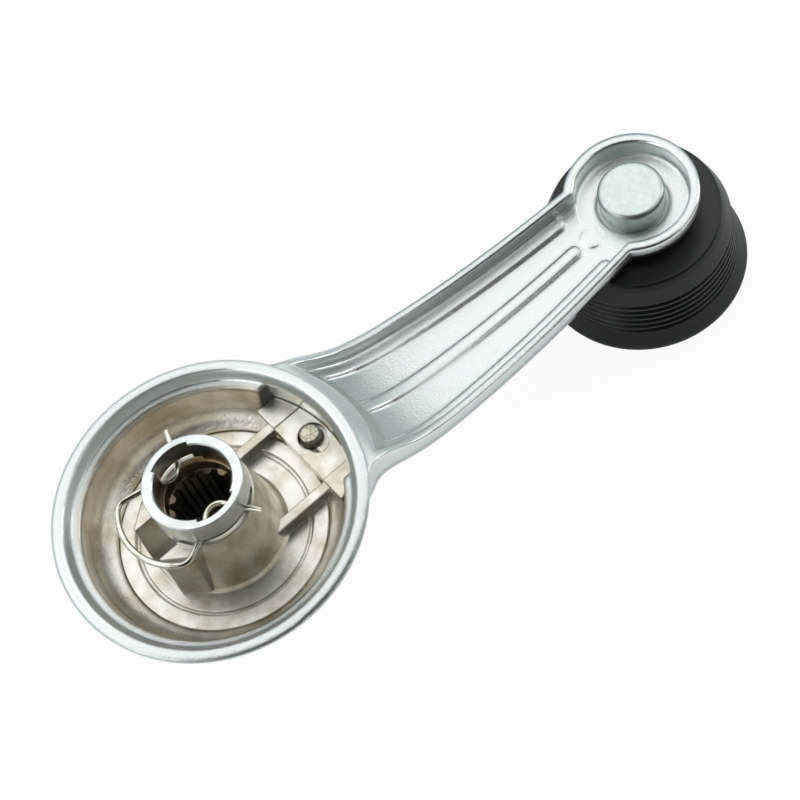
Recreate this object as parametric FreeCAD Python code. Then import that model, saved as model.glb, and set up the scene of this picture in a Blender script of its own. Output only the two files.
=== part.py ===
# Car window winder handle, seen from its door side: a die-cast crank with a cup round the spindle
# hub at one end and a turning knob at the other. Millimetres, +Z out of the spindle socket towards
# the door, +X from the hub axis to the knob axis. The origin is on the hub axis at the top of the
# socket's round pilot, which is also the floor of the clip slots.

import FreeCAD, Part
import math
import os

# Crank, between the two axes
crank_length = 105.5
mouth_rise = 11.0
overrun = 2.0
seat_gap = 0.03

# Cup round the hub: a dome with a flat rim and a stepped lip inside
cup_radius = 30.0
cup_bead = 0.6
cup_flank_angle = 62.0
cup_foot_drop = 14.5
cup_foot_round = 12.0
cup_crown_drop = 16.6
cup_crown_round = 120.0
cup_rim_width = 1.65
lip_inset = 1.35
lip_drop = 2.0
ledge_width = 1.4
ledge_drop = 2.4
bowl_edge_inset = 0.3
bowl_edge_drop = 3.1
bowl_wall_inset = 1.4
bowl_foot_drop = 10.8
bowl_foot_round = 4.4

# Arm: a channel open to the door side
arm_root_half_width = 14.3
arm_root_at = 32.0
arm_end_half_width = 9.9
arm_end_at = 96.0
arm_root_fillet = 8.0
arm_side_height = 3.2
arm_side_share = 0.28
arm_side_start = 16.0
arm_side_full = 29.0
arm_power = 2.6
arm_root_power = 2.1
arm_root_inset = 0.4
arm_root_lead = 1.5
arm_root_run = 6.0
arm_sections = 36
wall = 1.6
channel_depth = 4.2
ledge_height = 0.7
side_ledge_width = 3.0
side_ledge_end = 12.6
middle_rib_half_width = 1.3
middle_rib_round = 1.2
middle_rib_end = 14.8
facet_gap = 2.6
facet_drop = 3.0
facet_draft = 20.7

# Places along the arm as shares of the crank length, each with the drop of its back edge and of
# its front face below the cup's rim as shares of the boss's drop
arm_shares = (
    (0.125, 0.093, 0.875),
    (0.180, 0.093, 0.915),
    (0.237, 0.093, 0.940),
    (0.265, 0.127, 0.955),
    (0.300, 0.240, 0.990),
    (0.332, 0.447, 1.040),
    (0.379, 0.667, 1.150),
    (0.427, 0.800, 1.225),
    (0.474, 0.880, 1.287),
    (0.569, 0.980, 1.387),
    (0.664, 1.033, 1.440),
    (0.758, 1.047, 1.453),
    (0.853, 1.027, 1.443),
    (0.910, 1.000, 1.428),
    (0.948, 1.000, 1.425),
)

# Boss under the knob
boss_radius = 13.7
boss_drop = 15.0
boss_wall = 2.0
boss_floor_depth = 4.3
boss_depth = 6.6
boss_front_round = 4.3
boss_floor_round = 0.6
rivet_seat_radius = 7.5
rivet_seat_depth = 0.7
witness_radius = 2.3
witness_height = 0.15
witness_back = 11.3

# Hub casting: disc, tapered neck, clip guide, two ribs and a block beside the arm
disc_margin = 3.6
disc_seat_gap = 0.1
disc_seat_depth = 1.5
disc_flat_height = 0.45
disc_band_height = 1.2
disc_band_width = 3.2
disc_groove_width = 0.7
disc_groove_depth = 0.25
neck_radius = 9.8
neck_foot_radius = 12.1
neck_foot_round = 0.7
guide_reach = 13.3
guide_drop = 7.5
guide_nose_half_width = 4.3
guide_heel_half_width = 7.8
guide_heel_reach = 8.8
guide_taper = 0.6
window_half_width = 3.8
window_sill_height = 2.35
rib_inner = 7.65
rib_thickness = 2.0
rib_height = 3.35
block_length = 7.6
block_half_width = 13.0
block_drop = 7.9
block_foot_drop = 9.4
block_inset = 2.6
block_middle_step = 0.15
block_gap = 0.12
stake_inset = 3.3
stake_aside = 1.1
stake_hole_radius = 2.85
stake_radius = 2.1
stake_offset = 0.7
stake_relief_radius = 2.1
stake_relief_offset = 1.9
stake_head_rise = 0.2
stake_root = 2.0

# Drive sleeve: a plated ring with clip slots over a splined socket
sleeve_radius = 9.6
sleeve_body_radius = 8.7
sleeve_ring_height = 5.1
ring_bore_radius = 7.4
pilot_radius = 7.1
mouth_chamfer = 0.3
relief_radius = 8.2
relief_angle = 62.0
slot_clearance = 0.2
slot_arm_side_half_width = 5.5
slot_loop_side_half_width = 3.4
pilot_length = 3.0
spline_count = 14
spline_tip_radius = 6.1
spline_root_radius = 6.85
spline_tip_share = 0.36
spline_root_share = 0.30

# Retaining clip: sprung wire, drawn in its own plane from the middle of its loop
clip_wire = 1.2
clip_turn = 6.8
clip_loop_x = -15.85
clip_loop_y = -0.35
clip_bow_radius = 12.0
clip_bow_angle = 42.0
clip_corner_reach = 4.5
clip_corner_half_width = 9.6
clip_corner_round = 2.4
clip_entry_reach = 10.6
clip_entry_half_width = 7.5
clip_entry_round = 2.0
clip_waist_reach = 15.95
clip_waist_half_width = 3.6
clip_waist_round = 2.6
clip_tip_reach = 20.8
clip_tip_half_width = 12.9

# Knob on its rivet
rivet_head_radius = 6.8
rivet_head_height = 5.7
rivet_head_round = 0.9
rivet_radius = 4.0
rivet_tail_radius = 5.2
rivet_tail_height = 1.6
knob_running_gap = 0.05
friction_washer_radius = 8.5
friction_washer_thickness = 0.7
knob_play = 0.1
knob_back_radius = 9.5
knob_back_step = 0.5
knob_shoulder_radius = 17.5
knob_shoulder_drop = 1.2
knob_shoulder_round = 0.7
knob_band_radius = 19.4
knob_band_drop = 5.1
knob_groove_count = 6
knob_groove_pitch = 1.74
knob_groove_width = 0.9
knob_groove_depth = 0.5
knob_waist_radius = 20.1
knob_rim_radius = 22.1
knob_rim_drop = 19.2
knob_face_radius = 20.5
knob_height = 21.8
knob_face_round = 1.6
knob_wall = 2.2
knob_plate = 2.6
knob_hub_radius = 7.4
knob_hub_length = 14.0
retainer_radius = 7.0
retainer_thickness = 1.0
cap_radius = 17.9
cap_seat_gap = 0.1
cap_thickness = 1.8
cap_ledge = 0.6
cap_crown = 0.9
cap_dish_radius = 12.5
cap_dish_depth = 0.5
cap_lip = 0.6

# Places in plan worked out from the cup's radius
lip_radius = cup_radius - cup_rim_width
ledge_radius = lip_radius - lip_inset
bowl_radius = ledge_radius - ledge_width
bowl_foot_radius = bowl_radius - bowl_wall_inset
disc_radius = bowl_foot_radius - disc_margin
disc_band_radius = disc_radius - disc_band_width
block_reach_out = cup_radius - block_inset
block_reach = block_reach_out - block_length
stake_reach = block_reach_out - stake_inset
facet_radius = cup_radius + facet_gap

# Heights worked out from the sizes above
slot_floor_z = 0.0
slot_top_z = slot_floor_z + clip_wire + 2 * slot_clearance
mouth_z = slot_top_z + sleeve_ring_height
clip_z = slot_floor_z + slot_clearance + clip_wire / 2
spline_top_z = slot_floor_z - pilot_length
rim_z = mouth_z - mouth_rise
disc_seat_z = rim_z - bowl_foot_drop - disc_seat_depth
disc_flat_z = disc_seat_z + disc_flat_height
disc_band_z = disc_seat_z + disc_band_height
boss_z = rim_z - boss_drop
boss_floor_z = boss_z - boss_floor_depth
boss_front_z = boss_z - boss_depth
rivet_seat_z = boss_floor_z - rivet_seat_depth
knob_back_z = boss_front_z - friction_washer_thickness - knob_play
knob_face_z = knob_back_z - knob_height
knob_hub_end_z = knob_back_z - knob_hub_length
retainer_z = knob_hub_end_z - knob_play - retainer_thickness


def vec(x=0, y=0, z=0):
    return FreeCAD.Vector(x, y, z)


def unit(v):
    return v * (1 / v.Length)


def rounded_wire(corners, radii, closed=True):
    """A wire along the corners, each one rounded by its radius with an arc tangent to both sides."""
    count = len(corners)
    stops = []
    for i, (corner, radius) in enumerate(zip(corners, radii)):
        if radius == 0 or (not closed and i in (0, count - 1)):
            stops.append((corner,))
            continue
        before = unit(corners[i - 1] - corner)
        after = unit(corners[(i + 1) % count] - corner)
        half = before.getAngle(after) / 2
        reach = radius / math.tan(half)
        middle = corner + unit(before + after) * (radius / math.sin(half) - radius)
        stops.append((corner + before * reach, middle, corner + after * reach))
    edges = []
    for i, stop in enumerate(stops):
        if len(stop) == 3:
            edges.append(Part.Arc(*stop).toShape())
        if i + 1 < count or closed:
            start, end = stop[-1], stops[(i + 1) % count][0]
            if (end - start).Length > seat_gap / 10:
                edges.append(Part.LineSegment(start, end).toShape())
    return Part.Wire(edges)


def turned(profile, radii=None, at_x=0.0):
    """A solid of revolution about the upright axis at at_x, from (radius, height) corners."""
    corners = [vec(r, 0, z) for r, z in profile]
    face = Part.Face(rounded_wire(corners, radii or [0] * len(corners)))
    solid = face.revolve(vec(), vec(0, 0, 1), 360)
    solid.translate(vec(at_x, 0, 0))
    return solid


def prism(points, radii, low, high):
    """An upright prism between two heights on a rounded plan outline."""
    face = Part.Face(rounded_wire([vec(x, y, low) for x, y in points], radii))
    return face.extrude(vec(0, 0, high - low))


def block(x0, x1, y0, y1, z0, z1):
    return Part.makeBox(x1 - x0, y1 - y0, z1 - z0, vec(x0, y0, z0))


def rod(radius, low, high, x=0.0, y=0.0):
    return Part.makeCylinder(radius, high - low, vec(x, y, low), vec(0, 0, 1))


def mirrored(points):
    """A plan outline from its half on the +Y side, walked there and back."""
    return points + [(x, -y) for x, y in reversed(points)]


def export(shape, node):
    shape = shape.removeSplitter()
    print(node, "solids", len(shape.Solids), "valid", shape.isValid(), "volume %.1f" % shape.Volume)
    shape.exportStep("parts/%s.step" % node)
    return shape


def taper(x):
    """Half width of the arm's straight taper, walked on beyond its two ends."""
    share = (x - arm_root_at) / (arm_end_at - arm_root_at)
    return arm_root_half_width + share * (arm_end_half_width - arm_root_half_width)


def arm_root():
    """Plan fillet between the cup's bead and the taper: its centre, and its two ends in x."""
    slope = (arm_end_half_width - arm_root_half_width) / (arm_end_at - arm_root_at)
    bead = cup_radius + cup_bead - arm_root_inset
    lift = taper(0) + arm_root_fillet * math.hypot(1, slope)
    a = 1 + slope ** 2
    b = slope * lift
    c = lift ** 2 - (bead + arm_root_fillet) ** 2
    x = (-b + math.sqrt(b ** 2 - a * c)) / a
    cup_side = x * bead / (bead + arm_root_fillet) + arm_root_lead
    taper_start = x + arm_root_fillet * slope / math.hypot(1, slope)
    return x, lift + slope * x, cup_side, taper_start


def arm_half_width(x):
    """Half width of the arm: levelled off inside the cup, a hollow fillet beside it, then the taper."""
    centre_x, centre_y, cup_side, taper_start = arm_root()
    if x >= taper_start:
        return taper(x)
    off = centre_x - max(x, cup_side)
    rise = math.sqrt(arm_root_fillet ** 2 - off ** 2)
    width = centre_y - rise
    inside = min(max(cup_side - x, 0), arm_root_run)
    return width + off / rise * (inside - inside ** 2 / arm_root_run / 2)


def arm_height(x, column):
    """Height of the back edge (1) or the front face (2) at x, smoothly between the given places."""
    rows = arm_shares
    at = min(max(x / crank_length, rows[0][0]), rows[-1][0])
    i = max(k for k in range(len(rows) - 1) if rows[k][0] <= at)
    slopes = []
    for k in (i, i + 1):
        low, high = max(k - 1, 0), min(k + 1, len(rows) - 1)
        slopes.append((rows[high][column] - rows[low][column]) / (rows[high][0] - rows[low][0]))
    span = rows[i + 1][0] - rows[i][0]
    t = (at - rows[i][0]) / span
    drop = ((1 + 2 * t) * (1 - t) ** 2 * rows[i][column] + t * (1 - t) ** 2 * span * slopes[0]
            + t * t * (3 - 2 * t) * rows[i + 1][column] + t * t * (t - 1) * span * slopes[1])
    return rim_z - drop * boss_drop


def squircle(width, depth, power, count):
    """Quarter of a squared ellipse from (width, 0) to (0, depth)."""
    points = []
    for i in range(count + 1):
        angle = math.pi / 2 * i / count
        points.append((width * math.cos(angle) ** (2 / power), depth * math.sin(angle) ** (2 / power)))
    return points


def spline(points, start=None, end=None):
    """A smooth curve through the points, evenly paced so that neighbouring sections match."""
    pace = [i / (len(points) - 1) for i in range(len(points))]
    curve = Part.BSplineCurve()
    if start:
        curve.interpolate(Points=points, Parameters=pace, InitialTangent=start, FinalTangent=end)
    else:
        curve.interpolate(Points=points, Parameters=pace)
    return curve.toShape()


def arm_section(x):
    """Outer section of the arm: upright sides that fade out at the cup, then a full round front."""
    half = arm_half_width(x)
    share = min(max((x - arm_side_start) / (arm_side_full - arm_side_start), 0), 1)
    power = arm_root_power + share * (arm_power - arm_root_power)
    top, bottom = arm_height(x, 1), arm_height(x, 2)
    side = top - share * min(arm_side_height, (top - bottom) * arm_side_share)
    quarter = squircle(half, side - bottom, power, 9)
    right = [vec(x, y, side - z) for y, z in quarter]
    left = [vec(x, -y, side - z) for y, z in reversed(quarter[:-1])]
    front = spline(right + left, vec(0, 0, -1), vec(0, 0, 1))
    high = vec(x, half, rim_z + overrun)
    far = vec(x, -half, rim_z + overrun)
    lines = [Part.LineSegment(left[-1], far), Part.LineSegment(far, high), Part.LineSegment(high, right[0])]
    return Part.Wire([front] + [line.toShape() for line in lines])


def above(drop):
    """Everything above the arm's back edge let down by a drop, level over the boss."""
    first = arm_shares[0][0] * crank_length
    level = arm_shares[-2][0] * crank_length
    count = 24
    points = [vec(first + (level - first) * i / count, 0, 0) for i in range(count + 1)]
    points = [vec(p.x, 0, arm_height(p.x, 1) - drop) for p in points]
    far = crank_length + 2 * boss_radius
    high = rim_z + 3 * overrun
    corners = [points[-1], vec(far, 0, points[-1].z), vec(far, 0, high), vec(first, 0, high), points[0]]
    lines = [Part.LineSegment(a, b).toShape() for a, b in zip(corners, corners[1:])]
    face = Part.Face(Part.Wire([spline(points)] + lines))
    tool = face.extrude(vec(0, 4 * cup_radius, 0))
    tool.translate(vec(0, -2 * cup_radius, 0))
    return tool


def arm_outside():
    """The arm before hollowing, from inside the dome to inside the boss."""
    first, last = (row[0] * crank_length for row in (arm_shares[0], arm_shares[-1]))
    places = [first + (last - first) * i / arm_sections for i in range(arm_sections + 1)]
    arm = Part.makeLoft([arm_section(x) for x in places], True, False)
    return arm.cut(above(0))


def channel(drop):
    """The hollow between the arm's walls, down to a drop under its back edge."""
    first = facet_radius - facet_drop
    last = arm_shares[-1][0] * crank_length
    half = [(first, taper(first) - wall), (last, taper(last) - wall)]
    return prism(mirrored(half), [0] * 4, boss_floor_z - overrun, rim_z + overrun).common(above(drop))


def cup_outside():
    """The filled dome: flat rim, rolled bead, a sloping flank and a shallow crown."""
    slope = math.radians(cup_flank_angle)
    corner = cup_radius + cup_bead / math.tan(slope / 2)
    foot = corner - cup_foot_drop / math.tan(slope)
    outline = [
        vec(-corner, 0, rim_z),
        vec(corner, 0, rim_z),
        vec(foot, 0, rim_z - cup_foot_drop),
        vec(0, 0, rim_z - cup_crown_drop),
        vec(-foot, 0, rim_z - cup_foot_drop),
    ]
    radii = [cup_bead, cup_bead, cup_foot_round, cup_crown_round, cup_foot_round]
    whole = Part.Face(rounded_wire(outline, radii))
    half = whole.common(block(0, 2 * corner, -overrun, overrun, rim_z - 2 * cup_crown_drop, rim_z + overrun))
    return half.Faces[0].revolve(vec(), vec(0, 0, 1), 360)


def bowl(gap=0.0):
    """The hollow inside the cup down to its foot, drawn in by a gap."""
    top = rim_z + 2 * overrun
    foot = rim_z - bowl_foot_drop
    profile = [
        (0, top),
        (lip_radius - gap, top),
        (lip_radius - gap, rim_z),
        (ledge_radius - gap, rim_z - lip_drop),
        (bowl_radius - gap, rim_z - ledge_drop),
        (bowl_radius - bowl_edge_inset - gap, rim_z - bowl_edge_drop),
        (bowl_foot_radius - gap, foot),
        (0, foot),
    ]
    return turned(profile, [0, 0, 0, 0, 0, 0, bowl_foot_round - gap, 0])


def block_plan(gap, low, high):
    """The block's plan, shrunk by a gap, as an upright prism between two heights."""
    half = [(block_reach + gap, block_half_width - gap), (cup_radius, block_half_width - gap)]
    return prism(mirrored(half), [0] * 4, low, high).common(rod(block_reach_out - gap, low, high))


def boss_outside():
    profile = [(0, boss_z), (boss_radius, boss_z), (boss_radius, boss_front_z), (0, boss_front_z)]
    return turned(profile, [0, 0, boss_front_round, 0], crank_length)


def boss_hollow():
    inner = boss_radius - boss_wall
    profile = [(0, boss_z + overrun), (inner, boss_z + overrun), (inner, boss_floor_z), (0, boss_floor_z)]
    return turned(profile, [0, 0, boss_floor_round, 0], crank_length)


def handle_casting():
    """Cup, arm and boss in one plated casting, hollowed from the door side."""
    body = cup_outside().fuse([arm_outside(), boss_outside()])
    body = body.cut(bowl())
    body = body.cut(block_plan(0, rim_z - block_foot_drop, rim_z - lip_drop))
    body = body.cut(rod(disc_radius + disc_seat_gap, disc_seat_z, rim_z))
    low, high = boss_floor_z - 2 * overrun, rim_z + 2 * overrun
    spread = math.tan(math.radians(facet_draft))
    end_wall = Part.makeCone(facet_radius + (rim_z - facet_drop - low) * spread,
                             facet_radius - (high - rim_z + facet_drop) * spread, high - low, vec(0, 0, low))
    ledge_end = crank_length - side_ledge_end
    keep = [end_wall]
    for side in (-1, 1):
        inner_root = side * (taper(0) - wall - side_ledge_width)
        inner_end = side * (taper(ledge_end) - wall - side_ledge_width)
        outer = side * arm_root_half_width * 2
        strip = [(0, inner_root), (ledge_end, inner_end), (ledge_end, outer), (0, outer)]
        keep.append(prism(strip, [0, side_ledge_width / 2, 0, 0], low, high))
    rib_end = crank_length - middle_rib_end
    rib = [(0, middle_rib_half_width), (rib_end, middle_rib_half_width)]
    keep.append(prism(mirrored(rib), [0, middle_rib_round, middle_rib_round, 0], low, high))
    body = body.cut(channel(channel_depth - ledge_height).cut(end_wall))
    body = body.cut(channel(channel_depth).cut(keep))
    body = body.cut(boss_hollow())
    body = body.cut(rod(rivet_seat_radius, rivet_seat_z, boss_z, crank_length))
    body = body.cut(rod(rivet_radius + seat_gap, boss_front_z - overrun, boss_z, crank_length))
    witness_x = crank_length - witness_back
    witness = rod(witness_radius, boss_floor_z - boss_floor_round, boss_floor_z + witness_height, witness_x)
    body = body.fuse(witness)
    return body.cut(stake_pin(seat_gap))


def disc():
    seat, flat, band = disc_seat_z, disc_flat_z, disc_band_z
    groove = disc_band_radius - disc_groove_width
    profile = [
        (0, seat),
        (disc_radius, seat),
        (disc_radius, band),
        (disc_band_radius, band),
        (disc_band_radius, flat - disc_groove_depth),
        (groove, flat - disc_groove_depth),
        (groove, flat),
        (0, flat),
    ]
    small = disc_groove_depth / 2
    return turned(profile, [0, 0, disc_groove_depth, disc_groove_depth, 0, 0, small, 0])


def hub_casting():
    """Disc, neck round the sleeve, clip guide with its open window, ribs and block, all one casting."""
    foot_z = disc_flat_z
    neck = turned([
        (0, foot_z),
        (neck_foot_radius + neck_foot_round, foot_z),
        (neck_foot_radius, foot_z + neck_foot_round),
        (neck_radius, slot_floor_z),
        (0, slot_floor_z),
    ])
    guide_top = mouth_z - guide_drop
    outlines = []
    for height, spread in ((foot_z, guide_taper), (guide_top, 0.0)):
        half = [
            (0, guide_heel_half_width + spread),
            (-guide_heel_reach - spread, guide_heel_half_width + spread),
            (-guide_reach - spread, guide_nose_half_width + spread),
        ]
        corners = [vec(x, y, height) for x, y in mirrored(half)]
        outlines.append(Part.makePolygon(corners + corners[:1]))
    guide = Part.makeLoft(outlines, True, True)
    rib_top = foot_z + rib_height
    body = disc().fuse([neck, guide])
    for side in (-1, 1):
        near, far = sorted((side * rib_inner, side * (rib_inner + rib_thickness)))
        body = body.fuse(block(0, block_reach + overrun, near, far, disc_seat_z, rib_top))
    block_top = rim_z - block_drop
    body = body.fuse(block_plan(0, rim_z - bowl_foot_drop, block_top))
    middle_z = block_top - block_middle_step
    body = body.cut(block(block_reach - overrun, cup_radius, -rib_inner, rib_inner, middle_z, rim_z))
    inside = rod(disc_radius, disc_seat_z, rim_z).fuse(bowl(block_gap))
    inside = inside.fuse(block_plan(block_gap, rim_z - block_foot_drop, rim_z))
    body = body.common(inside)
    window_z = foot_z + window_sill_height
    body = body.cut(block(-2 * guide_reach, 0, -window_half_width, window_half_width, window_z, mouth_z))
    body = body.cut(rod(sleeve_body_radius + seat_gap, disc_seat_z - overrun, mouth_z))
    body = body.cut(rod(stake_hole_radius, disc_seat_z - overrun, rim_z, stake_reach, stake_aside))
    relief_y = stake_aside - stake_relief_offset
    body = body.cut(rod(stake_relief_radius, block_top - stake_relief_radius, rim_z, stake_reach, relief_y))
    return body


def stake_pin(gap=0.0):
    """Stud set in the handle casting and peened over in the block's hole."""
    x = stake_reach
    y = stake_aside + stake_offset
    root = rim_z - bowl_foot_drop - stake_root
    head = rim_z - block_drop + stake_head_rise
    pin = rod(stake_radius + gap, root - gap, head, x, y)
    if gap:
        return pin
    rim = [e for e in pin.Edges if e.BoundBox.ZMin > head - seat_gap and e.BoundBox.XLength > stake_radius]
    return pin.makeFillet(stake_radius / 4, rim)


def drive_sleeve():
    """Plated sleeve: a ring with two reliefs, chordal clip slots, a round pilot and the splines."""
    bottom = disc_seat_z + seat_gap
    profile = [
        (0, bottom),
        (sleeve_body_radius, bottom),
        (sleeve_body_radius, slot_floor_z),
        (sleeve_radius, slot_floor_z),
        (sleeve_radius, mouth_z),
        (0, mouth_z),
    ]
    outer = turned(profile, [0, 0, 0, 0, mouth_chamfer, 0])
    bore = turned([
        (0, mouth_z + overrun),
        (ring_bore_radius + mouth_chamfer + overrun, mouth_z + overrun),
        (ring_bore_radius, mouth_z - mouth_chamfer),
        (ring_bore_radius, slot_floor_z),
        (pilot_radius, slot_floor_z),
        (pilot_radius, spline_top_z),
        (spline_root_radius, spline_top_z - (pilot_radius - spline_root_radius)),
        (spline_root_radius, disc_seat_z),
        (0, disc_seat_z),
    ])
    body = outer.cut(bore)
    wedge_reach = sleeve_radius * 2
    half = math.radians(relief_angle / 2)
    for side in (-1, 1):
        spread = wedge_reach * math.tan(half)
        plan = [(0, 0), (spread, side * wedge_reach), (-spread, side * wedge_reach)]
        wedge = prism(plan, [0, 0, 0], slot_floor_z, mouth_z + overrun)
        body = body.cut(wedge.common(rod(relief_radius, slot_floor_z, mouth_z + overrun)))
        for half_width, start, stop in ((slot_arm_side_half_width, 0, sleeve_radius + overrun),
                                        (slot_loop_side_half_width, -sleeve_radius - overrun, 0)):
            near, far = sorted((side * half_width, side * (sleeve_radius + overrun)))
            body = body.cut(block(start, stop, near, far, slot_floor_z, slot_top_z))
    pitch = 360 / spline_count
    for i in range(spline_count):
        tooth = spline_tooth(spline_top_z, bottom)
        tooth.rotate(vec(), vec(0, 0, 1), pitch * i)
        body = body.fuse(tooth)
    return body


def spline_tooth(top, bottom):
    """One flat-topped spline, keyed into the bore wall, with a sloped lead-in at its top."""
    pitch = 2 * math.pi / spline_count
    tip = spline_tip_radius * pitch * spline_tip_share / 2
    root = spline_root_radius * pitch * (1 - spline_root_share) / 2
    keyed = (spline_root_radius + sleeve_body_radius) / 2
    plan = [(spline_tip_radius, -tip), (spline_root_radius, -root), (keyed, -root)]
    plan += [(r, -half) for r, half in reversed(plan)]
    tooth = prism(plan, [0] * len(plan), bottom, top)
    depth = pilot_radius - spline_tip_radius
    lead = Part.makeCone(spline_tip_radius, pilot_radius, depth / 2, vec(0, 0, top - depth / 2))
    return tooth.cut(lead)


def retaining_clip():
    """Bent wire: a bowed loop, two legs, a waist that closes on the spindle and two flared tips."""
    bow = clip_bow_radius - clip_bow_radius / math.cos(math.radians(clip_bow_angle))
    half = [
        (clip_tip_reach, clip_tip_half_width, 0),
        (clip_waist_reach, clip_waist_half_width, clip_waist_round),
        (clip_entry_reach, clip_entry_half_width, clip_entry_round),
        (clip_corner_reach, clip_corner_half_width, clip_corner_round),
    ]
    path = half + [(bow, 0, clip_bow_radius)] + [(u, -v, r) for u, v, r in reversed(half)]
    wire = rounded_wire([vec(u, v, 0) for u, v, r in path], [r for u, v, r in path], closed=False)
    start = wire.OrderedEdges[0]
    tangent = start.tangentAt(start.FirstParameter)
    where = start.valueAt(start.FirstParameter)
    section = Part.Wire(Part.makeCircle(clip_wire / 2, where, tangent))
    clip = wire.makePipeShell([section], True, False)
    clip.rotate(vec(), vec(0, 0, 1), clip_turn)
    clip.translate(vec(clip_loop_x, clip_loop_y, clip_z))
    return clip


def knob_rivet():
    """Broad flat head in the boss, plain shank as the knob's spindle, tail spread over the retainer."""
    head_z = rivet_seat_z + rivet_head_height
    tail_z = retainer_z - rivet_tail_height
    profile = [
        (0, head_z),
        (rivet_head_radius, head_z),
        (rivet_head_radius, rivet_seat_z),
        (rivet_radius, rivet_seat_z),
        (rivet_radius, retainer_z),
        (rivet_tail_radius, retainer_z),
        (rivet_radius, tail_z),
        (0, tail_z),
    ]
    return turned(profile, [0, rivet_head_round, 0, 0, 0, 0, 0, 0], crank_length)


def washer(radius, low, thickness, hole):
    ring = rod(radius, low, low + thickness, crank_length)
    return ring.cut(rod(hole, low - overrun, low + thickness + overrun, crank_length))


def knob_body():
    """Moulded shell: back plate with the spindle hub, fluted skirt flaring to a rolled rim."""
    back = knob_back_z
    face = knob_face_z
    shoulder = back - knob_shoulder_drop
    band = back - knob_band_drop
    waist = band - knob_groove_count * knob_groove_pitch
    rim = back - knob_rim_drop
    outside = [
        (0, back),
        (knob_back_radius, back),
        (knob_back_radius, back - knob_back_step),
        (knob_shoulder_radius, shoulder + knob_shoulder_round),
        (knob_shoulder_radius + knob_shoulder_round, shoulder - knob_shoulder_round),
        (knob_band_radius, band),
        (knob_waist_radius, waist),
        (knob_rim_radius, rim),
        (knob_face_radius, face),
        (0, face),
    ]
    radii = [0, 0, 0, knob_shoulder_round, 0, 0, 0, knob_face_round, 0, 0]
    body = turned(outside, radii, crank_length)
    slope = (knob_waist_radius - knob_band_radius) / (band - waist)
    for i in range(knob_groove_count):
        z = band - (i + 0.5) * knob_groove_pitch
        r = knob_band_radius + slope * (band - z)
        half = knob_groove_width / 2
        ring = [(r - knob_groove_depth, z - half / 2), (r + overrun, z - half / 2 - overrun),
                (r + overrun, z + half / 2 + overrun), (r - knob_groove_depth, z + half / 2)]
        body = body.cut(turned(ring, None, crank_length))
    cap_z = face + cap_thickness
    inside = [
        (knob_hub_radius, back - knob_plate),
        (knob_shoulder_radius - knob_wall, back - knob_plate - knob_shoulder_drop),
        (knob_band_radius - knob_wall, band),
        (knob_waist_radius - knob_wall, waist),
        (cap_radius - cap_ledge, cap_z),
        (cap_radius, cap_z),
        (cap_radius, face - overrun),
        (0, face - overrun),
        (0, knob_hub_end_z),
        (knob_hub_radius, knob_hub_end_z),
    ]
    body = body.cut(turned(inside, None, crank_length))
    return body.cut(rod(rivet_radius + knob_running_gap, face - overrun, back + overrun, crank_length))


def knob_cap():
    """Snap-in face: a thin crowned disc, dished in the middle."""
    front = knob_face_z - cap_crown
    back = knob_face_z + cap_thickness - cap_seat_gap
    rim = cap_radius - cap_seat_gap
    outside = [
        (0, front + cap_dish_depth),
        (cap_dish_radius - cap_lip, front + cap_dish_depth),
        (cap_dish_radius, front),
        (rim - cap_crown, front),
        (rim, knob_face_z),
        (rim, back),
        (0, back),
    ]
    return turned(outside, [0, 0, cap_lip / 2, cap_crown, 0, 0, 0], crank_length)


os.makedirs("parts", exist_ok=True)
export(handle_casting(), "handle_casting")
export(hub_casting(), "hub_casting")
export(stake_pin(), "stake_pin")
export(drive_sleeve(), "drive_sleeve")
export(retaining_clip(), "retaining_clip")
export(knob_rivet(), "knob_rivet")
export(washer(friction_washer_radius, boss_front_z - friction_washer_thickness, friction_washer_thickness,
              rivet_radius + knob_running_gap), "friction_washer")
export(knob_body(), "knob_body")
export(washer(retainer_radius, retainer_z, retainer_thickness, rivet_radius + seat_gap), "retaining_washer")
export(knob_cap(), "knob_cap")
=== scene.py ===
import bpy
import math
from mathutils import Matrix, Vector


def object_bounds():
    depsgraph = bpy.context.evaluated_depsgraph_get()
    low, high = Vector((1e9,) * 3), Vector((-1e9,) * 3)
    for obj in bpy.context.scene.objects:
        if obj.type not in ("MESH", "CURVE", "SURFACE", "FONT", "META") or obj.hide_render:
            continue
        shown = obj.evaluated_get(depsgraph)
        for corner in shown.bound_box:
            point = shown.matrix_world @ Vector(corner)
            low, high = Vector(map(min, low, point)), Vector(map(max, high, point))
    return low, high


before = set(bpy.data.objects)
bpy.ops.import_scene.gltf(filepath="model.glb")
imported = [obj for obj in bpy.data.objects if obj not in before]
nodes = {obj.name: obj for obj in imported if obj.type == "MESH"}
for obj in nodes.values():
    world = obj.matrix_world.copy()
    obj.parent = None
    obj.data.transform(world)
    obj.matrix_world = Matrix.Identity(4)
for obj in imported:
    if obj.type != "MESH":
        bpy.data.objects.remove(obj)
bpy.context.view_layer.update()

# Handle casting. Cup, arm and boss are one zinc die casting, buffed along its edges and plated
# with nickel and then chrome. The thin chrome doesn't reach into the deep cup, so the nickel under
# it shows there, warmer and duller than the blue-white chrome of the rim and the arm.
mm = 0.001  # lengths on the pieces are in millimetres
first_colour, second_colour, mixed = 6, 7, 2  # a mix node's colour sockets, which go by number
buffed_highlight_colour = "#F2F5F4"
frosted_colour = "#DBE2E0"
stained_nickel = "#BCB29E"
clean_nickel = "#E2DED3"
chrome_reach = 25.2
chrome_fade = 1.6
hollow_from = 0.1
hollow_full = 0.35
cast_edge = 1.4
buffed_reach = 1.0
turned_off = 0.93
turned_flat = 0.995
side_blend = 0.3
cup_stain = 9.0
orange_peel = 1.5
peel_depth = 0.06
peel_strength = 0.6
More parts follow.
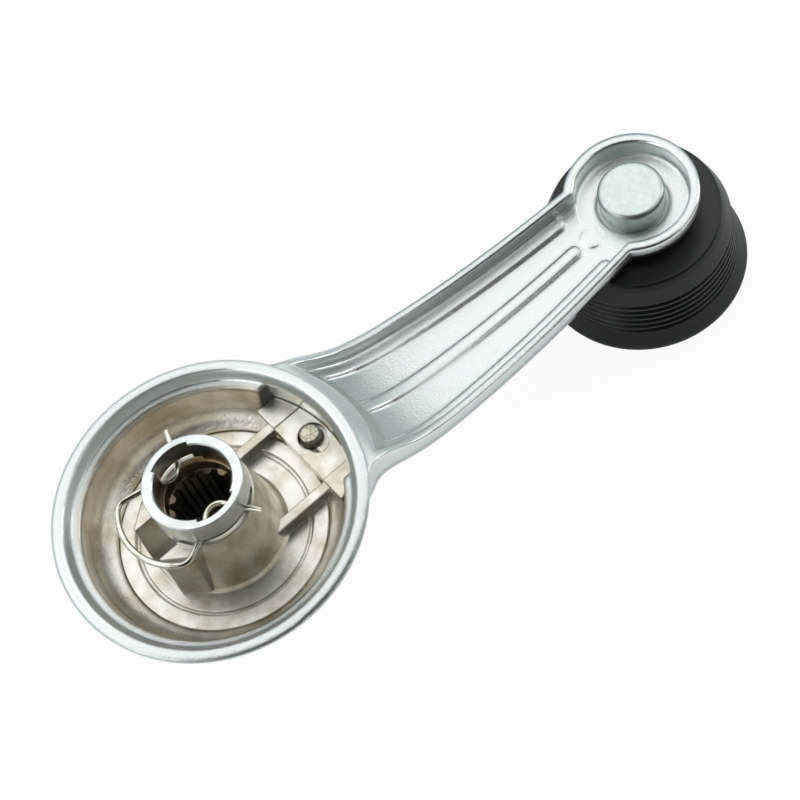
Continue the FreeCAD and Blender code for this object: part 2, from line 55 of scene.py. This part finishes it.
skin_grain = 0.5  # the real casting skin is finer than a pixel, so it is drawn this coarse
skin_depth = 0.08
buffed_chrome = 0.08
frosted_chrome = 0.4
buffed_nickel = 0.12
dull_nickel = 0.34


def linear(colour):
    """An sRGB hex colour as linear RGBA."""
    parts = [int(colour[i:i + 2], 16) / 255 for i in (1, 3, 5)]
    return [c / 12.92 if c <= 0.04045 else ((c + 0.055) / 1.055) ** 2.4 for c in parts] + [1]


def add(tree, kind, settings=None, sockets=None):
    """Adds a node. A ramp takes stops, and a socket takes a value or an output to link from."""
    node = tree.nodes.new(kind)
    for name, value in (settings or {}).items():
        if name == "stops":
            for stop, (colour, position) in zip(node.color_ramp.elements, value):
                stop.color = linear(colour)
                stop.position = position
        else:
            setattr(node, name, value)
    for name, value in (sockets or {}).items():
        if isinstance(value, bpy.types.NodeSocket):
            tree.links.new(value, node.inputs[name])
        else:
            node.inputs[name].default_value = value
    return node


def finish_on(name, *things):
    """A new material on these objects, with its output waiting for a shader."""
    material = bpy.data.materials.new(name)
    material.use_nodes = True
    material.node_tree.nodes.clear()
    for thing in things:
        if not thing.material_slots:
            thing.data.materials.append(material)
        for holder in thing.material_slots:
            holder.material = material
    return material.node_tree


tree = finish_on("bright chrome over nickel, die-cast zinc", nodes["handle_casting"])
place = add(tree, "ShaderNodeTexCoord").outputs["Object"]
facing = add(tree, "ShaderNodeNewGeometry").outputs["Normal"]
facing_up = add(tree, "ShaderNodeSeparateXYZ", None, {0: facing}).outputs["Z"]

# The cup's hollow faces up or inwards, and the chrome ends at a circle round the hub's axis.
flat_place = add(tree, "ShaderNodeVectorMath", {"operation": "MULTIPLY"}, {
    0: place, 1: (1, 1, 0)}).outputs[0]
from_axis = add(tree, "ShaderNodeVectorMath", {"operation": "LENGTH"}, {
    0: flat_place}).outputs["Value"]
outward = add(tree, "ShaderNodeVectorMath", {"operation": "NORMALIZE"}, {
    0: flat_place}).outputs[0]
facing_out = add(tree, "ShaderNodeVectorMath", {"operation": "DOT_PRODUCT"}, {
    0: facing, 1: outward}).outputs["Value"]
hollow = add(tree, "ShaderNodeMath", {"operation": "SUBTRACT"}, {
    0: facing_up, 1: facing_out}).outputs[0]
hollow_side = add(tree, "ShaderNodeMapRange", {"interpolation_type": "SMOOTHSTEP"}, {
    "Value": hollow, "From Min": hollow_from, "From Max": hollow_full}).outputs[0]
past_chrome = add(tree, "ShaderNodeMapRange", {"interpolation_type": "SMOOTHSTEP"}, {
    "Value": from_axis, "From Min": (chrome_reach + chrome_fade) * mm,
    "From Max": chrome_reach * mm}).outputs[0]
bare_nickel = add(tree, "ShaderNodeMath", {"operation": "MULTIPLY"}, {
    0: hollow_side, 1: past_chrome}).outputs[0]

# The buffing wheel reached the edges and the outside, and left the channel's flats as cast. The
# buffed colour is also lighter, a painted highlight along the edges and the outside.
softened = add(tree, "ShaderNodeBevel", {"samples": 8}, {"Radius": cast_edge * mm})
near_edge = add(tree, "ShaderNodeBevel", {"samples": 6}, {"Radius": buffed_reach * mm})
bent = add(tree, "ShaderNodeVectorMath", {"operation": "DOT_PRODUCT"}, {
    0: facing, 1: near_edge.outputs[0]})
flat_share = add(tree, "ShaderNodeMapRange", None, {
    "Value": bent.outputs["Value"], "From Min": turned_off, "From Max": turned_flat}).outputs[0]
as_cast = add(tree, "ShaderNodeMapRange", {"interpolation_type": "SMOOTHSTEP"}, {
    "Value": facing_up, "From Min": -side_blend, "From Max": side_blend,
    "To Max": flat_share}).outputs[0]
stain = add(tree, "ShaderNodeTexNoise", None, {
    "Vector": place, "Scale": 1 / (cup_stain * mm), "Detail": 5.0, "Roughness": 0.62})
nickel = add(
    tree, "ShaderNodeValToRGB", {"stops": ((stained_nickel, 0.36), (clean_nickel, 0.60))},
    {"Fac": stain.outputs["Fac"]})
# The lighter buffed colour on the edges and the outside is a painted highlight; their lower
# roughness is real buffing.
chrome = add(tree, "ShaderNodeMix", {"data_type": "RGBA"}, {
    "Factor": as_cast, first_colour: linear(buffed_highlight_colour),
    second_colour: linear(frosted_colour)})
colour = add(tree, "ShaderNodeMix", {"data_type": "RGBA"}, {
    "Factor": bare_nickel, first_colour: chrome.outputs[mixed],
    second_colour: nickel.outputs[0]})
chrome_gloss = add(tree, "ShaderNodeMapRange", None, {
    "Value": as_cast, "To Min": buffed_chrome, "To Max": frosted_chrome})
nickel_gloss = add(tree, "ShaderNodeMapRange", None, {
    "Value": flat_share, "To Min": buffed_nickel, "To Max": dull_nickel})
roughness = add(tree, "ShaderNodeMapRange", None, {
    "Value": bare_nickel, "To Min": chrome_gloss.outputs[0], "To Max": nickel_gloss.outputs[0]})
peel = add(tree, "ShaderNodeTexNoise", None, {
    "Vector": place, "Scale": 1 / (orange_peel * mm), "Detail": 3.0})
wavy = add(tree, "ShaderNodeBump", None, {
    "Height": peel.outputs["Fac"], "Strength": peel_strength, "Distance": peel_depth * mm,
    "Normal": softened.outputs[0]})
skin = add(tree, "ShaderNodeTexNoise", None, {
    "Vector": place, "Scale": 1 / (skin_grain * mm), "Detail": 2.0})
grained = add(tree, "ShaderNodeBump", None, {
    "Height": skin.outputs["Fac"], "Strength": as_cast, "Distance": skin_depth * mm,
    "Normal": wavy.outputs[0]})
metal = add(tree, "ShaderNodeBsdfPrincipled", None, {
    "Base Color": colour.outputs[mixed], "Metallic": 1.0, "Roughness": roughness.outputs[0],
    "Normal": grained.outputs[0]})
add(tree, "ShaderNodeOutputMaterial", None, {"Surface": metal.outputs[0]})

# Hub casting. The disc, neck, clip guide, ribs and block are a second zinc casting, set in the
# cup. It is barrelled rather than buffed and nickel plated, so it is a warm, patchy satin with
# soft edges.
dark_satin = "#C8C0AE"
pale_satin = "#E5E2D8"
hub_edge = 0.5
hub_stain = 5.0
hub_grain = 0.5  # barrelling leaves a finer grain, which wouldn't show in a picture
grain_depth = 0.03
grain_strength = 0.4
worn_nickel = 0.30
fresh_nickel = 0.40
tree = finish_on("satin nickel, barrelled zinc casting", nodes["hub_casting"])
place = add(tree, "ShaderNodeTexCoord").outputs["Object"]
stain = add(tree, "ShaderNodeTexNoise", None, {
    "Vector": place, "Scale": 1 / (hub_stain * mm), "Detail": 5.0, "Roughness": 0.6})
nickel = add(
    tree, "ShaderNodeValToRGB", {"stops": ((dark_satin, 0.35), (pale_satin, 0.58))},
    {"Fac": stain.outputs["Fac"]})
roughness = add(tree, "ShaderNodeMapRange", None, {
    "Value": stain.outputs["Fac"], "To Min": fresh_nickel, "To Max": worn_nickel})
softened = add(tree, "ShaderNodeBevel", {"samples": 6}, {"Radius": hub_edge * mm})
grain = add(tree, "ShaderNodeTexNoise", None, {
    "Vector": place, "Scale": 1 / (hub_grain * mm), "Detail": 3.0})
grained = add(tree, "ShaderNodeBump", None, {
    "Height": grain.outputs["Fac"], "Strength": grain_strength, "Distance": grain_depth * mm,
    "Normal": softened.outputs[0]})
metal = add(tree, "ShaderNodeBsdfPrincipled", None, {
    "Base Color": nickel.outputs[0], "Metallic": 1.0, "Roughness": roughness.outputs[0],
    "Normal": grained.outputs[0]})
add(tree, "ShaderNodeOutputMaterial", None, {"Surface": metal.outputs[0]})

# Drive sleeve. Turned and broached from steel bar, zinc plated and pressed into the hub casting.
# It is bluer than the castings, with turning rings on its mouth. Down the bore, painted shade turns
# it brown and then nearly black.
dark_zinc = "#CFD5D3"
pale_zinc = "#E3E7E5"
bore_shade_brown = "#A8977A"
bore_shade_black = "#30271B"
sleeve_edge = 0.25
turning_pitch = 0.35  # the real tool marks are finer than a pixel, so they are drawn this wide
turning_depth = 0.01
turning_strength = 0.15
zinc_cloud = 2.5
zinc_roughness = 0.3
bore_shade_top = 6.4
bore_shade_full = 1.0
bore_shade_bottom = -10.0
bore_radius = 8.2
bore_margin = 0.2
tree = finish_on("zinc plate on turned steel", nodes["drive_sleeve"])
place = add(tree, "ShaderNodeTexCoord").outputs["Object"]
height = add(tree, "ShaderNodeSeparateXYZ", None, {0: place}).outputs["Z"]
flat_place = add(tree, "ShaderNodeVectorMath", {"operation": "MULTIPLY"}, {
    0: place, 1: (1, 1, 0)}).outputs[0]
from_axis = add(tree, "ShaderNodeVectorMath", {"operation": "LENGTH"}, {
    0: flat_place}).outputs["Value"]
across_rings = add(tree, "ShaderNodeMath", {"operation": "MULTIPLY"}, {
    0: from_axis, 1: 2 * math.pi / (turning_pitch * mm)})
rings = add(tree, "ShaderNodeMath", {"operation": "SINE"}, {0: across_rings.outputs[0]})
cloud = add(tree, "ShaderNodeTexNoise", None, {
    "Vector": place, "Scale": 1 / (zinc_cloud * mm), "Detail": 4.0})
zinc = add(
    tree, "ShaderNodeValToRGB", {"stops": ((dark_zinc, 0.35), (pale_zinc, 0.62))},
    {"Fac": cloud.outputs["Fac"]})
down_bore = add(tree, "ShaderNodeMapRange", {"interpolation_type": "SMOOTHSTEP"}, {
    "Value": height, "From Min": bore_shade_top * mm, "From Max": bore_shade_full * mm})
inside = add(tree, "ShaderNodeMapRange", None, {
    "Value": from_axis, "From Min": (bore_radius + bore_margin) * mm,
    "From Max": bore_radius * mm})
bore_shaded = add(tree, "ShaderNodeMath", {"operation": "MULTIPLY"}, {
    0: down_bore.outputs[0], 1: inside.outputs[0]})
# Painted shade: the bore's colour goes from brown at the top to nearly black further down.
shade_depth = add(tree, "ShaderNodeMapRange", None, {
    "Value": height, "From Min": bore_shade_top * mm, "From Max": bore_shade_bottom * mm})
bore_shade = add(
    tree, "ShaderNodeValToRGB", {"stops": ((bore_shade_brown, 0.3), (bore_shade_black, 1))},
    {"Fac": shade_depth.outputs[0]})
colour = add(tree, "ShaderNodeMix", {"data_type": "RGBA"}, {
    "Factor": bore_shaded.outputs[0], first_colour: zinc.outputs[0],
    second_colour: bore_shade.outputs[0]})
softened = add(tree, "ShaderNodeBevel", {"samples": 6}, {"Radius": sleeve_edge * mm})
turned = add(tree, "ShaderNodeBump", None, {
    "Height": rings.outputs[0], "Strength": turning_strength, "Distance": turning_depth * mm,
    "Normal": softened.outputs[0]})
metal = add(tree, "ShaderNodeBsdfPrincipled", None, {
    "Base Color": colour.outputs[mixed], "Metallic": 1.0, "Roughness": zinc_roughness,
    "Normal": turned.outputs[0]})
add(tree, "ShaderNodeOutputMaterial", None, {"Surface": metal.outputs[0]})

# Stake pin and retaining washer. Both are plain steel. The pin goes through the block's hole, and
# its head is peened over with a chisel, so creases cross the grey metal, drawn darker as painted
# shade in them.
crease_shade_colour = "#A39B88"
steel_colour = "#C9C4B4"
crease_pitch = 1.5
crease_depth = 0.15
crease_strength = 0.5
peened_roughness = 0.34
tree = finish_on("peened bare steel", nodes["stake_pin"], nodes["retaining_washer"])
place = add(tree, "ShaderNodeTexCoord").outputs["Object"]
creases = add(tree, "ShaderNodeTexVoronoi", {"feature": "DISTANCE_TO_EDGE"}, {
    "Vector": place, "Scale": 1 / (crease_pitch * mm)})
# The darker crease colour is painted shade in the creases; the same ramp also dents them as bumps.
struck_and_shaded = add(
    tree, "ShaderNodeValToRGB", {"stops": ((crease_shade_colour, 0.02), (steel_colour, 0.1))},
    {"Fac": creases.outputs["Distance"]})
beaten = add(tree, "ShaderNodeBump", None, {
    "Height": struck_and_shaded.outputs[0], "Strength": crease_strength, "Distance": crease_depth * mm})
metal = add(tree, "ShaderNodeBsdfPrincipled", None, {
    "Base Color": struck_and_shaded.outputs[0], "Metallic": 1.0, "Roughness": peened_roughness,
    "Normal": beaten.outputs[0]})
add(tree, "ShaderNodeOutputMaterial", None, {"Surface": metal.outputs[0]})

# Retaining clip. Hard drawn spring wire, bent to shape, flash plated and sprung into the sleeve's
# slots. Drawing leaves it smooth, so it has a clean cream shine.
dull_wire = "#CFC7B2"
bright_wire = "#EDE8D9"
wire_cloud = 1.8
wire_roughness = 0.22
tree = finish_on("flash-plated spring wire", nodes["retaining_clip"])
place = add(tree, "ShaderNodeTexCoord").outputs["Object"]
cloud = add(tree, "ShaderNodeTexNoise", None, {
    "Vector": place, "Scale": 1 / (wire_cloud * mm), "Detail": 3.0})
wire = add(
    tree, "ShaderNodeValToRGB", {"stops": ((dull_wire, 0.35), (bright_wire, 0.6))},
    {"Fac": cloud.outputs["Fac"]})
metal = add(tree, "ShaderNodeBsdfPrincipled", None, {
    "Base Color": wire.outputs[0], "Metallic": 1.0, "Roughness": wire_roughness})
add(tree, "ShaderNodeOutputMaterial", None, {"Surface": metal.outputs[0]})

# Knob rivet. Cold-headed steel, zinc plated in a barrel. Its flat head is an even, frosted pale
# blue-green, and tumbling has rounded and brightened its edge.
dark_rivet = "#B9C5C1"
pale_rivet = "#C4D0CC"
rivet_edge = 1.0
rivet_cloud = 1.2
rivet_grain = 0.25  # the real frosting is finer than a pixel, so it is drawn this coarse
frost_depth = 0.01
frost_strength = 0.25
tumbled_edge = 0.15
frosted_head = 0.34
tree = finish_on("barrel-zinced rivet steel", nodes["knob_rivet"])
place = add(tree, "ShaderNodeTexCoord").outputs["Object"]
facing = add(tree, "ShaderNodeNewGeometry").outputs["Normal"]
cloud = add(tree, "ShaderNodeTexNoise", None, {
    "Vector": place, "Scale": 1 / (rivet_cloud * mm), "Detail": 4.0})
zinc = add(
    tree, "ShaderNodeValToRGB", {"stops": ((dark_rivet, 0.35), (pale_rivet, 0.62))},
    {"Fac": cloud.outputs["Fac"]})
softened = add(tree, "ShaderNodeBevel", {"samples": 8}, {"Radius": rivet_edge * mm})
bent = add(tree, "ShaderNodeVectorMath", {"operation": "DOT_PRODUCT"}, {
    0: facing, 1: softened.outputs[0]})
roughness = add(tree, "ShaderNodeMapRange", None, {
    "Value": bent.outputs["Value"], "From Min": turned_off, "From Max": turned_flat,
    "To Min": tumbled_edge, "To Max": frosted_head})
grain = add(tree, "ShaderNodeTexNoise", None, {
    "Vector": place, "Scale": 1 / (rivet_grain * mm), "Detail": 2.0})
frosted = add(tree, "ShaderNodeBump", None, {
    "Height": grain.outputs["Fac"], "Strength": frost_strength, "Distance": frost_depth * mm,
    "Normal": softened.outputs[0]})
metal = add(tree, "ShaderNodeBsdfPrincipled", None, {
    "Base Color": zinc.outputs[0], "Metallic": 1.0, "Roughness": roughness.outputs[0],
    "Normal": frosted.outputs[0]})
add(tree, "ShaderNodeOutputMaterial", None, {"Surface": metal.outputs[0]})

# Friction washer. Punched from natural nylon sheet, it lies between the boss and the knob and
# lets the knob turn. Nylon is milky and a little translucent.
dark_nylon = "#CFC9B8"
pale_nylon = "#E2DDCF"
nylon_cloud = 2.0
nylon_roughness = 0.5
nylon_ior = 1.53
nylon_milk = 0.1
tree = finish_on("natural nylon sheet", nodes["friction_washer"])
place = add(tree, "ShaderNodeTexCoord").outputs["Object"]
cloud = add(tree, "ShaderNodeTexNoise", None, {
    "Vector": place, "Scale": 1 / (nylon_cloud * mm), "Detail": 3.0})
nylon = add(
    tree, "ShaderNodeValToRGB", {"stops": ((dark_nylon, 0), (pale_nylon, 1))},
    {"Fac": cloud.outputs["Fac"]})
plastic = add(tree, "ShaderNodeBsdfPrincipled", None, {
    "Base Color": nylon.outputs[0], "Roughness": nylon_roughness, "IOR": nylon_ior,
    "Subsurface Weight": nylon_milk})
add(tree, "ShaderNodeOutputMaterial", None, {"Surface": plastic.outputs[0]})

# Knob and its face cap. Both are moulded in black ABS, and the cap snaps in over the rivet's
# tail. The mould's fine spark finish dulls their shine to a satin black.
deep_black = "#070908"
worn_black = "#0E1110"
knob_cloud = 7.0
knob_edge = 0.2
spark_grain = 0.3  # real spark erosion is finer than a pixel, so it is drawn this coarse
spark_depth = 0.02
spark_strength = 0.2
shiny_black = 0.30
satin_black = 0.42
abs_ior = 1.5
abs_shine = 0.42
tree = finish_on("black moulded ABS", nodes["knob_body"], nodes["knob_cap"])
place = add(tree, "ShaderNodeTexCoord").outputs["Object"]
cloud = add(tree, "ShaderNodeTexNoise", None, {
    "Vector": place, "Scale": 1 / (knob_cloud * mm), "Detail": 4.0})
black = add(
    tree, "ShaderNodeValToRGB", {"stops": ((deep_black, 0), (worn_black, 1))},
    {"Fac": cloud.outputs["Fac"]})
roughness = add(tree, "ShaderNodeMapRange", None, {
    "Value": cloud.outputs["Fac"], "To Min": shiny_black, "To Max": satin_black})
softened = add(tree, "ShaderNodeBevel", {"samples": 6}, {"Radius": knob_edge * mm})
grain = add(tree, "ShaderNodeTexNoise", None, {
    "Vector": place, "Scale": 1 / (spark_grain * mm), "Detail": 2.0})
sparked = add(tree, "ShaderNodeBump", None, {
    "Height": grain.outputs["Fac"], "Strength": spark_strength, "Distance": spark_depth * mm,
    "Normal": softened.outputs[0]})
plastic = add(tree, "ShaderNodeBsdfPrincipled", None, {
    "Base Color": black.outputs[0], "Roughness": roughness.outputs[0], "IOR": abs_ior,
    "Specular IOR Level": abs_shine, "Normal": sparked.outputs[0]})
add(tree, "ShaderNodeOutputMaterial", None, {"Surface": plastic.outputs[0]})

# Studio. The handle lies socket up on a white table, in a light tent that is white overhead and
# greyer towards its foot. A bowed black card on the camera's side and a round black hood about
# the lens draw the dark lines in the plating. Places and sizes here are in metres.
white = "#FFFFFF"
paper_colour = "#E8EAEA"
card_foot_colour = "#0A0B0B"
card_top_colour = "#4A4C4C"
velvet_colour = "#0A0A0A"
tent_foot_colour = "#94A2AC"
table_radius = 1.6
table_gap = 0.00005
table_glow = 0.94
round_sides = 96
card_radius = 0.5
card_top = 0.34
card_from = 200
card_to = 340
card_step = 5
card_fade = 0.35
hood_place = Vector((-0.0237, -0.194, 0.355))
hood_radius = 0.3
tent_foot = 0.06
tent_white = 0.84
handle_middle = Vector((0.05, 0, 0))


def stage_object(name, points, faces):
    """A stage object from points in metres and the faces between them."""
    mesh = bpy.data.meshes.new(name)
    mesh.from_pydata(points, [], faces)
    thing = bpy.data.objects.new(name, mesh)
    bpy.context.scene.collection.objects.link(thing)
    return thing


table_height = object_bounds()[0].z - table_gap
turns = [2 * math.pi * i / round_sides for i in range(round_sides)]
table_edge = [(table_radius * math.cos(a), table_radius * math.sin(a), table_height) for a in turns]
table = stage_object("table", table_edge, [range(round_sides)])
hood_edge = [(hood_radius * math.cos(a), hood_radius * math.sin(a), 0) for a in turns]
hood = stage_object("black hood", hood_edge, [range(round_sides)])
hood.location = hood_place
hood.rotation_euler = (hood_place - handle_middle).to_track_quat("Z", "Y").to_euler()
bow = [math.radians(a) for a in range(card_from, card_to + 1, card_step)]
card_edges = [
    (card_radius * math.cos(a), card_radius * math.sin(a), table_height + z)
    for z in (0, card_top) for a in bow]
card_faces = [(i, i + 1, len(bow) + i + 1, len(bow) + i) for i in range(len(bow) - 1)]
card = stage_object("black card", card_edges, card_faces)
for thing in (card, hood):
    thing.visible_camera = False
    thing.visible_shadow = False
    thing.visible_diffuse = False

tree = finish_on("white paper", table)
rays = add(tree, "ShaderNodeLightPath")
seen = add(tree, "ShaderNodeMath", {"operation": "MULTIPLY"}, {
    0: rays.outputs["Is Camera Ray"], 1: table_glow})
paper = add(tree, "ShaderNodeBsdfDiffuse", None, {"Color": linear(paper_colour)})
glow = add(tree, "ShaderNodeEmission", None, {"Color": linear(white), "Strength": 1.0})
both = add(tree, "ShaderNodeMixShader", None, {
    "Fac": seen.outputs[0], 1: paper.outputs[0], 2: glow.outputs[0]})
add(tree, "ShaderNodeOutputMaterial", None, {"Surface": both.outputs[0]})

tree = finish_on("black card", card)
place = add(tree, "ShaderNodeTexCoord").outputs["Generated"]
up = add(tree, "ShaderNodeSeparateXYZ", None, {0: place})
fade = add(
    tree, "ShaderNodeValToRGB", {"stops": ((card_foot_colour, card_fade), (card_top_colour, 1))},
    {"Fac": up.outputs["Z"]})
dull = add(tree, "ShaderNodeBsdfDiffuse", None, {"Color": fade.outputs[0]})
add(tree, "ShaderNodeOutputMaterial", None, {"Surface": dull.outputs[0]})

tree = finish_on("black velvet", hood)
dull = add(tree, "ShaderNodeBsdfDiffuse", None, {"Color": linear(velvet_colour)})
add(tree, "ShaderNodeOutputMaterial", None, {"Surface": dull.outputs[0]})

world = bpy.data.worlds.new("light tent")
bpy.context.scene.world = world
world.use_nodes = True
tree = world.node_tree
tree.nodes.clear()
rays = add(tree, "ShaderNodeLightPath")
place = add(tree, "ShaderNodeTexCoord").outputs["Generated"]
up = add(tree, "ShaderNodeSeparateXYZ", None, {0: place})
tent = add(
    tree, "ShaderNodeValToRGB", {"stops": ((tent_foot_colour, tent_foot), (white, tent_white))},
    {"Fac": up.outputs["Z"]})
tent.color_ramp.interpolation = "EASE"
seen = add(tree, "ShaderNodeMix", {"data_type": "RGBA"}, {
    "Factor": rays.outputs["Is Camera Ray"], first_colour: tent.outputs[0],
    second_colour: linear(white)})
sky = add(tree, "ShaderNodeBackground", None, {"Color": seen.outputs[mixed], "Strength": 1.0})
add(tree, "ShaderNodeOutputWorld", None, {"Surface": sky.outputs[0]})

for name, place, size, power in (
    ("high soft box", (0.25, 0.45, 0.95), 1.1, 1.2),
    ("far soft box", (0.42, 0.44, 0.82), 0.32, 0.18),
    ("left soft box", (-0.30, 0.50, 0.80), 0.22, 0.5),
    ("right soft box", (0.85, -0.25, 0.32), 0.4, 1.0),
    ("side soft box", (-0.8, -0.1, 0.6), 0.5, 0.9),
):
    lamp = bpy.data.lights.new(name, "AREA")
    lamp.shape = "SQUARE"
    lamp.size = size
    lamp.energy = power
    holder = bpy.data.objects.new(name, lamp)
    holder.location = place
    holder.rotation_euler = (handle_middle - Vector(place)).to_track_quat("-Z", "Y").to_euler()
    bpy.context.scene.collection.objects.link(holder)

# Camera. It stands over the cup's near side and is rolled, so that the arm runs up to the right.
# A long lens keeps the cup and the knob at nearly one scale.
camera_place = Vector((-0.02271, -0.18576, 0.34))
camera_right = Vector((0.7485, -0.6354, -0.1898))
camera_up = Vector((0.6437, 0.6276, 0.4379))
lens = bpy.data.cameras.new("camera")
lens.lens = 94.5
lens.sensor_width = 36.0
camera = bpy.data.objects.new("camera", lens)
axes = Matrix((camera_right, camera_up, camera_right.cross(camera_up))).transposed()
turn = axes.to_quaternion().to_matrix().to_4x4()
camera.matrix_world = Matrix.Translation(camera_place) @ turn
bpy.context.scene.collection.objects.link(camera)
bpy.context.scene.camera = camera
bpy.context.scene.view_settings.view_transform = "Standard"
